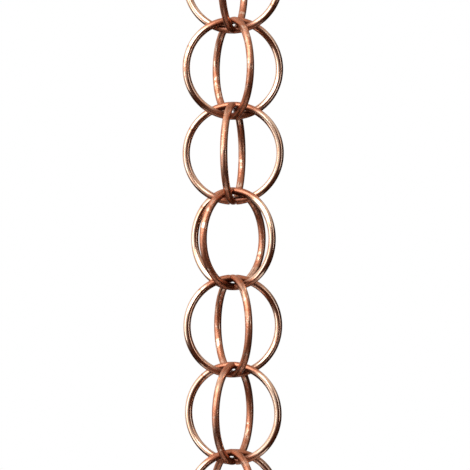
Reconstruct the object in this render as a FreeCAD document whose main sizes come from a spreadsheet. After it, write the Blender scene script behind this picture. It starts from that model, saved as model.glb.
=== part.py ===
import FreeCAD, Part
import Sketcher
import math
import os

# Double-ring rain chain. Every level is a link of two equal copper wire rings that cross one another
# on the chain's axis. They lie flush: each is cut to half its wire where it crosses the other, the
# lower ring from above and the upper ring from below, and the two are brazed there.
# Each link hangs in the one above it, top crossing on bottom crossing, and is twisted so that the
# arms of the two pass between one another.
# The origin is the hanging point: the underside of the first link's top crossing, where a hook bears.
# +Z is up, and -Y is the front, the side that the chain is seen from.

doc = FreeCAD.newDocument("rain_chain")
sheet = doc.addObject("Spreadsheet::Sheet", "sizes")

# Driving sizes, in millimetres.
SIZES = [
    ("wire_diameter", "4.2"),
    ("ring_diameter", "58.4"),
    ("hang_clearance", "0.6"),
    ("lap_clearance", "0.1"),
]

# The links from the top down, with two angles about the chain's axis each, in degrees anticlockwise
# from above: the twist of its lower ring against the lower ring of the link above (of the first, its
# turn from standing square to the front), and the angle from there to its upper ring.
LINKS = [
    ("one", "-14", "90"),
    ("two", "27", "98"),
    ("three", "66", "90"),
    ("four", "65", "88"),
    ("five", "53", "92"),
    ("six", "52", "90"),
    ("seven", "46", "88"),
]


def put(alias, value):
    """Add one named value to the sheet."""
    put.row += 1
    sheet.set("A%d" % put.row, alias)
    sheet.set("B%d" % put.row, value)
    sheet.setAlias("B%d" % put.row, alias)
    doc.recompute()


put.row = 0
for alias, value in SIZES:
    put(alias, value)
for level, twist, crossing in LINKS:
    put("twist_%s" % level, twist)
    put("crossing_%s" % level, crossing)
put("mean_radius", "=(ring_diameter - wire_diameter) / 2")
put("wire_step", "=wire_diameter + hang_clearance")
put("half_lap", "=lap_clearance / 2")
put("turn_one", "=twist_one")
put("centre_one", "=wire_diameter / 2 - mean_radius")

# A lap is as wide as the other ring's wire, which may cross it a little askew.
for level, _, _ in LINKS:
    askew_wire = "wire_diameter * (1 + abs(cos(crossing_{0}))) / sin(crossing_{0})".format(level)
    put("lap_%s" % level, "=%s + 2 * lap_clearance" % askew_wire)

# Each link's turn and centre follow from the link above. Where two crossing wires, one bent up and
# the other down, are nearly parallel, they come closest beside the axis, so they stay further apart
# on it than one wire and its clearance: hang is how far, from middle line to middle line.
for (above, _, _), (level, _, _) in zip(LINKS, LINKS[1:]):
    put("turn_%s" % level, "=turn_%s + twist_%s" % (above, level))
    angles = ["twist_{0}", "abs(twist_{0} + crossing_{0} - crossing_{1})",
              "abs(crossing_{1} - twist_{0})", "abs(180 - twist_{0} - crossing_{0})"]
    put("between_%s" % level, "=min(%s)" % ", ".join(angles).format(level, above))
    put("spread_%s" % level, "=4 * mean_radius * sin(between_%s / 2)^2" % level)
    put("aside_%s" % level, "=wire_step^2 / spread_{0} + spread_{0} / 4".format(level))
    put("hang_%s" % level, "=2 * aside_{0} > spread_{0} ? aside_{0} : wire_step".format(level))
    put("centre_%s" % level, "=centre_%s - 2 * mean_radius + hang_%s" % (above, level))


def cut_lap(body, label, width, base):
    """Cut half the wire away where the other ring crosses, upwards from base."""
    lap = body.newObject("PartDesign::SubtractiveBox", label)
    lap.setExpression("Length", width)
    lap.setExpression("Width", "2 * sizes.wire_diameter")
    lap.setExpression("Height", "sizes.wire_diameter")
    lap.setExpression("Placement.Base.x", "-%s / 2" % width)
    lap.setExpression("Placement.Base.y", "-sizes.wire_diameter")
    lap.setExpression("Placement.Base.z", base)


def wire_ring(label, turn, centre, lap_width, lap_base):
    """A closed ring of round wire, upright on the chain's axis, with a lap at its top and its bottom."""
    body = doc.addObject("PartDesign::Body", label)
    body.Label = label
    planes = {plane.Role: plane for plane in body.Origin.OriginFeatures}
    section = body.newObject("Sketcher::SketchObject", label + "_section")
    section.AttachmentSupport = [(planes["XY_Plane"], "")]
    section.MapMode = "FlatFace"
    middle = FreeCAD.Vector(sheet.mean_radius, 0, 0)
    upright = FreeCAD.Vector(0, 0, 1)
    section.addGeometry(Part.Circle(middle, upright, sheet.wire_diameter / 2), False)
    section.addConstraint(Sketcher.Constraint("PointOnObject", 0, 3, -1))
    reach = section.addConstraint(Sketcher.Constraint("DistanceX", -1, 1, 0, 3, sheet.mean_radius))
    across = section.addConstraint(Sketcher.Constraint("Diameter", 0, sheet.wire_diameter))
    section.setExpression("Constraints[%d]" % reach, "sizes.mean_radius")
    section.setExpression("Constraints[%d]" % across, "sizes.wire_diameter")
    bend = body.newObject("PartDesign::Revolution", label + "_bend")
    bend.Profile = section
    bend.ReferenceAxis = (section, ["V_Axis"])
    bend.Angle = 360.0
    cut_lap(body, label + "_top_lap", lap_width, "sizes.mean_radius" + lap_base)
    cut_lap(body, label + "_bottom_lap", lap_width, "-sizes.mean_radius" + lap_base)
    body.Placement = FreeCAD.Placement(FreeCAD.Vector(0, 0, 0), FreeCAD.Rotation(upright, 1))
    body.setExpression("Placement.Rotation.Angle", turn)
    body.setExpression("Placement.Base.z", centre)
    return body


rings = []
for level, _, _ in LINKS:
    name = "level_%s_" % level
    turn = "sizes.turn_%s" % level
    centre = "sizes.centre_%s" % level
    lap = "sizes.lap_%s" % level
    rings.append(wire_ring(name + "lower_ring", turn, centre, lap, " - sizes.half_lap"))
    rings.append(wire_ring(name + "upper_ring", turn + " + sizes.crossing_%s" % level, centre, lap,
                           " - sizes.wire_diameter + sizes.half_lap"))
doc.recompute()

for item in doc.Objects:
    if "Invalid" in item.State or "Error" in item.State:
        raise RuntimeError("%s did not build: %s" % (item.Label, item.State))

ring_volume = 2 * math.pi * sheet.mean_radius * math.pi * (sheet.wire_diameter / 2) ** 2
for ring in rings:
    shape = ring.Shape
    if shape.isNull() or not shape.isValid() or len(shape.Solids) != 1:
        raise RuntimeError(ring.Label + " is not one sound solid")
    if not 0.9 * ring_volume < shape.Volume < ring_volume:
        raise RuntimeError(ring.Label + " is not a wire ring with two laps")

os.makedirs("parts", exist_ok=True)
for ring in rings:
    ring.Shape.exportStep("parts/" + ring.Label + ".step")
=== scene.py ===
import math

import bpy
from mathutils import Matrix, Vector


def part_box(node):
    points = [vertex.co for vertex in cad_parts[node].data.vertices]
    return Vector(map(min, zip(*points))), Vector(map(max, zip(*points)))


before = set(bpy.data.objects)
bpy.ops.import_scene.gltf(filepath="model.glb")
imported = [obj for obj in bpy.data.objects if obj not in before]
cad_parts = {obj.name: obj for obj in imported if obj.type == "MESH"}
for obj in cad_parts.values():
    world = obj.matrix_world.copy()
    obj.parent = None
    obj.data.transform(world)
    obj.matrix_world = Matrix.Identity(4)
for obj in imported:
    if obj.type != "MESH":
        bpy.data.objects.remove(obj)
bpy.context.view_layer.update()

# The rain chain hangs from its first link at the origin. +Z is up, -Y is the front, lengths are in metres.
# The rings are the frame's own solids. This script gives each its copper, and sets floor, light and camera.

MEAN_RADIUS = 0.0271            # from a ring's centre to the middle of its wire
CHAIN_MIDDLE = (0, 0, -0.17)    # what the studio lights face

# Each ring's turn about the chain's axis in degrees, then where its brazed seam lies, in degrees from the
# side that it is turned to towards its bottom, and how brown its copper has gone, from 0 to 1.
RINGS = {
    "level_one_lower_ring": (166, 150, 0.35),
    "level_one_upper_ring": (76, 35, 1.00),
    "level_two_lower_ring": (13, 205, 0.25),
    "level_two_upper_ring": (111, 160, 1.00),
    "level_three_lower_ring": (79, 25, 1.00),
    "level_three_upper_ring": (169, 330, 0.22),
    "level_four_lower_ring": (144, 318, 0.25),
    "level_four_upper_ring": (52, 140, 0.90),
    "level_five_lower_ring": (17, 226, 0.35),
    "level_five_upper_ring": (109, 200, 1.00),
    "level_six_lower_ring": (69, 20, 0.95),
    "level_six_upper_ring": (159, 310, 0.22),
    "level_seven_lower_ring": (115, 145, 1.00),
    "level_seven_upper_ring": (23, 40, 0.55),
}

# Colours of the copper. The edge tint is what it mirrors at a grazing angle.
BRIGHT_COPPER = (0.92, 0.72, 0.58, 1)
WARM_COPPER = (0.80, 0.44, 0.27, 1)
BROWN_OXIDE = (0.43, 0.13, 0.055, 1)
# Painted shade: the dark colour put on the inner side of each crossing, where another link touches and
# shades it.
PAINTED_CONTACT_SHADE = (0.10, 0.022, 0.008, 1)
EDGE_TINT = (0.80, 0.45, 0.28, 1)
WHITE = (1, 1, 1, 1)

# Noise scales of the copper's patterns, from coarse to fine. Along the wire the streaks are drawn out.
BLOTCH_SCALE = 48
RUBBED_SCALE = 210
MARK_SCALE = 620
STREAK_SCALE = 2200
STREAK_SQUEEZE = 0.06

# Where the blotches' noise turns brown on a clean ring, how much sooner it does on a brown one, and how
# soft the edge is.
BLOTCH_START = 0.62
BLOTCH_SOONER = 0.34
BLOTCH_EDGE = 0.24

# Each pair is where a pattern's noise begins to show and where it shows in full.
RUBBED_EDGE = (0.51, 0.61)
SPOT_EDGE = (0.63, 0.75)
STREAK_EDGE = (0.3, 0.7)

# Each pair is where a place on the wire begins and where it is full, in metres. The seam is measured along
# the wire from the seam's middle, the crossing and the painted shade where another link touches by height
# from the ring's middle, and the inner side outward from the middle of the wire.
SEAM_EDGE = (0.0011, 0.0002)
CROSSING_EDGE = (0.74 * MEAN_RADIUS, 0.95 * MEAN_RADIUS)
CONTACT_SHADE_EDGE = (0.80 * MEAN_RADIUS, 0.93 * MEAN_RADIUS)
INNER_SIDE = (0.0010, -0.0010)

# How strongly each of these covers the copper, and how much of the blotches is left on a rubbed patch.
TARNISH_COVER = 0.88
SPOT_COVER = 0.5
SEAM_COVER = 0.7
# How dark the painted shade on the inner side of a crossing gets where another link touches.
CONTACT_SHADE_COVER = 0.85
RUBBED_REST = 0.25

# What makes the copper dull, as shares, and the roughness from its clean to its dull state.
DULL_BY_TARNISH = 0.6
DULL_BY_MARKS = 0.4
DULL_EDGE = (0.1, 0.8)
ROUGHNESS = (0.15, 0.44)

# How far each of these stands out, as shares of the relief's depth.
STREAK_RELIEF = 0.35
MARK_RELIEF = 0.6
SEAM_RELIEF = 2.5
RELIEF_DEPTH = 0.00012
RELIEF_STRENGTH = 0.12


class Graph:
    """Short ways to add and join the nodes of one material or world."""

    def __init__(self, tree):
        self.tree = tree
        tree.nodes.clear()

    def add(self, kind, inputs=(), **settings):
        """A new node. Its inputs are constants, or sockets of other nodes to join them to."""
        node = self.tree.nodes.new(kind)
        for name, value in settings.items():
            setattr(node, name, value)
        for socket, value in dict(inputs).items():
            self.set(node.inputs[socket], value)
        return node

    def set(self, socket, value):
        if isinstance(value, bpy.types.NodeSocket):
            self.tree.links.new(value, socket)
        else:
            socket.default_value = value

    def math(self, operation, *values):
        return self.add("ShaderNodeMath", dict(enumerate(values)), operation=operation).outputs[0]

    def vector(self, operation, *values):
        return self.add("ShaderNodeVectorMath", dict(enumerate(values)), operation=operation).outputs

    def weighed(self, *pairs):
        """The sum of values, each times its weight."""
        total = 0.0
        for value, weight in pairs:
            total = self.math("MULTIPLY_ADD", value, weight, total)
        return total

    def ramp(self, value, start, end, low=0.0, high=1.0):
        """value from start to end becomes low to high, eased at both ends."""
        inputs = {"Value": value, "From Min": start, "From Max": end, "To Min": low, "To Max": high}
        return self.add("ShaderNodeMapRange", inputs, interpolation_type="SMOOTHSTEP").outputs[0]

    def mix(self, factor, first, second):
        """A mix of two colours, which have inputs 6 and 7 and output 2 of the mix node."""
        inputs = {0: factor, 6: first, 7: second}
        return self.add("ShaderNodeMix", inputs, data_type="RGBA").outputs[2]

    def noise(self, vector, scale, detail, roughness):
        inputs = {"Vector": vector, "Scale": scale, "Detail": detail, "Roughness": roughness}
        return self.add("ShaderNodeTexNoise", inputs).outputs["Fac"]

    def split(self, vector):
        """The x, y and z of a vector."""
        return self.add("ShaderNodeSeparateXYZ", {0: vector}).outputs


def new_graph(owner):
    """The empty node graph of a new material or world."""
    owner.use_nodes = True
    return Graph(owner.node_tree)


def ring_coordinates(graph, place, centre, turn, seam):
    """Where a point of a ring lies: along the wire from opposite the seam, outward from the middle of the
    wire, and sideways out of the ring's plane."""
    # The ring's own axes are x and z in its plane, with the seam at -x, and y square to it.
    own_turn = (0, math.radians(180 + seam), math.radians(turn))
    inputs = {"Vector": place, "Location": centre, "Rotation": own_turn}
    x, sideways, z = graph.split(graph.add("ShaderNodeMapping", inputs, vector_type="TEXTURE").outputs[0])
    along = graph.math("MULTIPLY", graph.math("ARCTAN2", z, x), MEAN_RADIUS)
    reach = graph.math("SQRT", graph.math("ADD", graph.math("MULTIPLY", x, x), graph.math("MULTIPLY", z, z)))
    return along, graph.math("SUBTRACT", reach, MEAN_RADIUS), sideways


def copper(ring, turn, seam, brown):
    """Drawn copper wire for one ring: streaks along the wire, brown blotches with rubbed patches, small
    marks, a brazed seam, and two crossings that are brown, with painted shade inside where another link
    touches."""
    material = bpy.data.materials.new("copper_" + ring)
    graph = new_graph(material)
    low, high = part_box(ring)
    middle = (low.z + high.z) / 2
    place = graph.add("ShaderNodeTexCoord").outputs["Object"]
    _, _, height = graph.split(place)
    along, outward, sideways = ring_coordinates(graph, place, (0, 0, middle), turn, seam)

    # The patterns, each from 0 to 1.
    drawn_out = {0: graph.math("MULTIPLY", along, STREAK_SQUEEZE), 1: outward, 2: sideways}
    drawn = graph.add("ShaderNodeCombineXYZ", drawn_out).outputs[0]
    streaks = graph.noise(drawn, STREAK_SCALE, detail=3, roughness=0.55)
    marks = graph.noise(place, MARK_SCALE, detail=5, roughness=0.65)
    clouds = graph.noise(place, BLOTCH_SCALE, detail=5, roughness=0.6)
    blotch_start = BLOTCH_START - BLOTCH_SOONER * brown
    blotches = graph.ramp(clouds, blotch_start, blotch_start + BLOTCH_EDGE)
    patches = graph.noise(place, RUBBED_SCALE, detail=4, roughness=0.65)
    unrubbed = graph.ramp(patches, *RUBBED_EDGE, 1, RUBBED_REST)
    from_seam = graph.math("SUBTRACT", math.pi * MEAN_RADIUS, graph.math("ABSOLUTE", along))
    at_seam = graph.ramp(from_seam, *SEAM_EDGE)
    from_middle = graph.math("ABSOLUTE", graph.math("SUBTRACT", height, middle))
    at_crossing = graph.ramp(from_middle, *CROSSING_EDGE)
    # Painted shade: the inner side of each crossing darkens where the next link touches and shades it.
    painted_contact_shade = graph.math("MULTIPLY", graph.ramp(from_middle, *CONTACT_SHADE_EDGE),
                            graph.ramp(outward, *INNER_SIDE, 0, CONTACT_SHADE_COVER))

    # The colour, from the clean wire to what lies over it, and last the painted shade where another link
    # touches.
    tarnish = graph.math("MAXIMUM", graph.math("MULTIPLY", blotches, unrubbed), at_crossing)
    spots = graph.math("MULTIPLY", graph.ramp(marks, *SPOT_EDGE), SPOT_COVER)
    specks = graph.math("MAXIMUM", spots, graph.math("MULTIPLY", at_seam, SEAM_COVER))
    clean = graph.mix(graph.ramp(streaks, *STREAK_EDGE), WARM_COPPER, BRIGHT_COPPER)
    tarnished = graph.mix(graph.math("MULTIPLY", tarnish, TARNISH_COVER), clean, BROWN_OXIDE)
    colour = graph.mix(painted_contact_shade, graph.mix(specks, tarnished, BROWN_OXIDE), PAINTED_CONTACT_SHADE)

    # Tarnish and marks make it rougher. Streaks, marks and most of all the seam stand out a little.
    dull = graph.weighed((tarnish, DULL_BY_TARNISH), (marks, DULL_BY_MARKS))
    roughness = graph.ramp(dull, *DULL_EDGE, *ROUGHNESS)
    relief = graph.weighed((streaks, STREAK_RELIEF), (marks, MARK_RELIEF), (at_seam, SEAM_RELIEF))
    bump = graph.add("ShaderNodeBump", {
        "Height": relief, "Strength": RELIEF_STRENGTH, "Distance": RELIEF_DEPTH})
    shader = graph.add("ShaderNodeBsdfPrincipled", {
        "Base Color": colour, "Metallic": 1.0, "Roughness": roughness, "Normal": bump.outputs[0],
        "Specular Tint": EDGE_TINT, "Coat Weight": 0.4, "Coat Roughness": 0.15})
    graph.add("ShaderNodeOutputMaterial", {"Surface": shader.outputs[0]})
    return material


for ring, (turn, seam, brown) in RINGS.items():
    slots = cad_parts[ring].data.materials
    slots.clear()
    slots.append(copper(ring, turn, seam, brown))


# The floor is pale and keeps the chain's soft shadow. Away from the chain it fades into the white backdrop.
FLOOR_HEIGHT = -1.00
FLOOR_RADIUS = 0.45
FLOOR_CORNERS = 48
FLOOR_FADE = (0.25, 0.44)       # from where to where it turns white, outward from the middle
FLOOR_COLOUR = (0.86, 0.86, 0.855, 1)


def pale_paper():
    """The floor's material."""
    material = bpy.data.materials.new("pale_floor")
    graph = new_graph(material)
    spot = graph.add("ShaderNodeTexCoord").outputs["Object"]
    distance = graph.vector("LENGTH", graph.vector("MULTIPLY", spot, (1, 1, 0))[0])["Value"]
    paper = graph.add("ShaderNodeBsdfDiffuse", {"Color": FLOOR_COLOUR}).outputs[0]
    white = graph.add("ShaderNodeEmission", {"Color": WHITE, "Strength": 1.0}).outputs[0]
    rays = graph.add("ShaderNodeLightPath").outputs
    mirrored = graph.math("MAXIMUM", rays["Is Glossy Ray"], rays["Is Transmission Ray"])
    seen = graph.math("MAXIMUM", rays["Is Camera Ray"], mirrored)
    fade = graph.math("MULTIPLY", graph.ramp(distance, *FLOOR_FADE), seen)
    blend = graph.add("ShaderNodeMixShader", {0: fade, 1: paper, 2: white})
    graph.add("ShaderNodeOutputMaterial", {"Surface": blend.outputs[0]})
    return material


angles = [math.tau * corner / FLOOR_CORNERS for corner in range(FLOOR_CORNERS)]
corners = [(FLOOR_RADIUS * math.cos(a), FLOOR_RADIUS * math.sin(a), FLOOR_HEIGHT) for a in angles]
floor_mesh = bpy.data.meshes.new("floor")
floor_mesh.from_pydata(corners, [], [tuple(range(FLOOR_CORNERS))])
floor_mesh.materials.append(pale_paper())
floor = bpy.data.objects.new("floor", floor_mesh)
bpy.context.scene.collection.objects.link(floor)


# The world is white to the camera. The metal mirrors the white backdrop, straight behind the chain and round
# its left side, light from above, and a dim room elsewhere.
BACKDROP_SIDE = (-0.85, 0.0, 0.35)      # the direction of the backdrop's left side
ROOM_BEHIND = (0.015, 0.005, 0.002, 1)
ROOM_IN_FRONT = (0.055, 0.015, 0.005, 1)
ROOM_ABOVE = (0.85, 0.79, 0.73, 1)
SOFT_LIGHT = (0.30, 0.30, 0.30, 1)

# Each pair is where a part of the surroundings begins and where it is full: the backdrop's side by how far
# a direction points to it, and the others by how far it points up or to the back.
SIDE_EDGE = (-0.10, 0.70)
SIDE_FOOT = (-0.6, 0.1)
BEHIND_EDGE = (0.9, 0.98)
FRONT_EDGE = (0.2, -0.8)
ABOVE_EDGE = (0.15, 0.9)


def studio_world():
    """The surroundings, as the camera, the metal and the floor see them."""
    world = bpy.data.worlds.new("studio")
    graph = new_graph(world)
    direction = graph.add("ShaderNodeTexCoord").outputs["Generated"]
    _, back, up = graph.split(direction)
    sideward = graph.vector("DOT_PRODUCT", direction, BACKDROP_SIDE)["Value"]
    beside = graph.math("MULTIPLY", graph.ramp(sideward, *SIDE_EDGE), graph.ramp(up, *SIDE_FOOT))
    backdrop = graph.math("MAXIMUM", beside, graph.ramp(back, *BEHIND_EDGE))
    room = graph.mix(graph.ramp(back, *FRONT_EDGE), ROOM_BEHIND, ROOM_IN_FRONT)
    lit_room = graph.mix(graph.ramp(up, *ABOVE_EDGE), room, ROOM_ABOVE)
    mirrored = graph.mix(backdrop, lit_room, WHITE)
    rays = graph.add("ShaderNodeLightPath").outputs
    seen = graph.math("MAXIMUM", rays["Is Camera Ray"], rays["Is Transmission Ray"])
    light = graph.mix(rays["Is Glossy Ray"], SOFT_LIGHT, mirrored)
    background = graph.add("ShaderNodeBackground", {"Color": graph.mix(seen, light, WHITE), "Strength": 1.0})
    graph.add("ShaderNodeOutputWorld", {"Surface": background.outputs[0]})
    return world


bpy.context.scene.world = studio_world()


def softbox(name, place, width, height, watts):
    """A rectangular studio light that faces the middle of the chain."""
    lamp = bpy.data.lights.new(name, "AREA")
    lamp.shape = "RECTANGLE"
    lamp.size = width
    lamp.size_y = height
    lamp.energy = watts
    item = bpy.data.objects.new(name, lamp)
    item.location = place
    item.rotation_euler = (Vector(CHAIN_MIDDLE) - Vector(place)).to_track_quat("-Z", "Y").to_euler()
    bpy.context.scene.collection.objects.link(item)


softbox("key_softbox", (-0.65, -1.0, 0.75), width=1.7, height=1.2, watts=26)
softbox("left_strip", (-1.2, -0.6, -0.1), width=0.5, height=1.4, watts=5)
softbox("right_strip", (1.1, -0.8, 0.0), width=0.25, height=1.2, watts=1.5)


# The camera stands level with the chain and straight in front of it. Its frame cuts the first level and
# the last.
CAMERA_DISTANCE = 1.6
CAMERA_ASIDE = 0.0011
CAMERA_HEIGHT = -0.1682
FRAME_HEIGHT = 0.2661           # how much of the chain the frame takes in
SENSOR = 36.0                   # in millimetres, as the lens is

lens = bpy.data.cameras.new("camera")
lens.sensor_width = SENSOR
lens.lens = SENSOR * CAMERA_DISTANCE / FRAME_HEIGHT
camera = bpy.data.objects.new("camera", lens)
camera.location = (CAMERA_ASIDE, -CAMERA_DISTANCE, CAMERA_HEIGHT)
camera.rotation_euler = (math.radians(90), 0, 0)
bpy.context.scene.collection.objects.link(camera)
bpy.context.scene.camera = camera
bpy.context.scene.view_settings.view_transform = "Standard"
